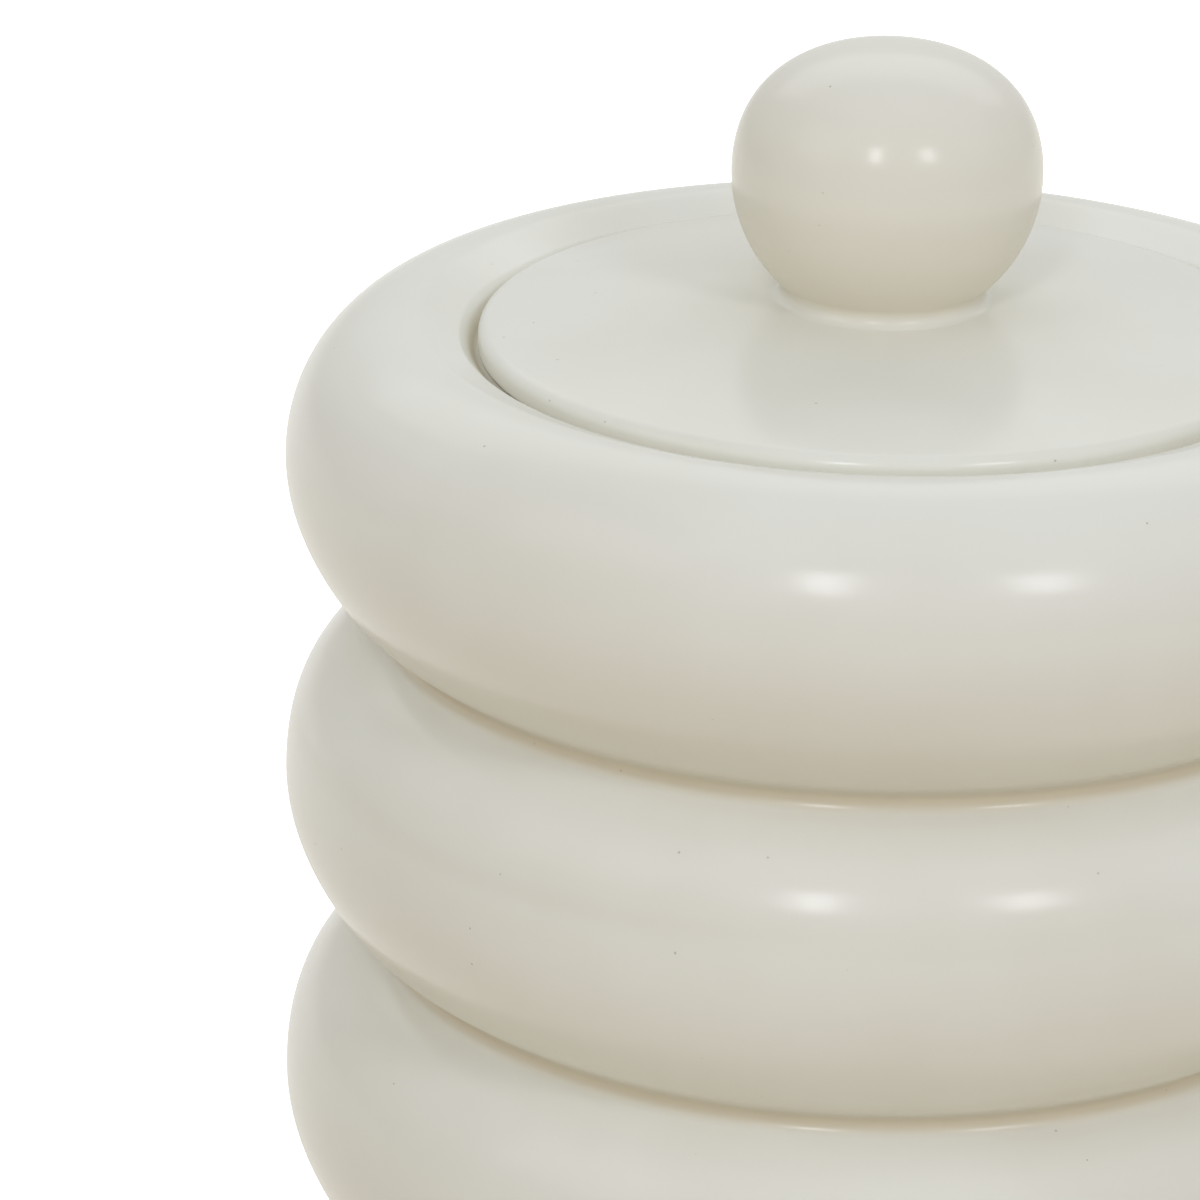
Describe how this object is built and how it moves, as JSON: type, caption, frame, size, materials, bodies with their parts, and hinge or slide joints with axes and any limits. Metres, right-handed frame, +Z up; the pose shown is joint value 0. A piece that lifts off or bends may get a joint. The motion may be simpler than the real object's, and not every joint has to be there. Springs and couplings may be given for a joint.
{
  "type": "decorative box",
  "caption": "Round lidded stoneware box: a wall of stacked fat rings, a drop-in domed lid with a ball knob, satin cream glaze. Holds small things out of sight.",
  "frame": {"origin": "centre of the foot ring, on the surface that the box stands on", "axes": "+Z up along the box's axis, through the lid's knob; the box is round, so +X and +Y are free, and -Y faces the picture's camera"},
  "size_m": [0.14, 0.14, 0.1873],
  "materials": {
    "jar_glaze": "satin cream glaze over stoneware, bare foot ring",
    "lid_glaze": "satin cream glaze over stoneware, bare seat ring",
    "knob_glaze": "satin cream glaze over stoneware"
  },
  "bodies": {
    "jar": {"jar_body": "jar_glaze"},
    "lid": {"domed_lid": "lid_glaze", "ball_knob": "knob_glaze"}
  },
  "joints": [
    {"name": "lid_lift", "type": "slide", "parent": "jar", "child": "lid", "axis": [0, 0, 1], "range_m": [0, 0.08]}
  ]
}
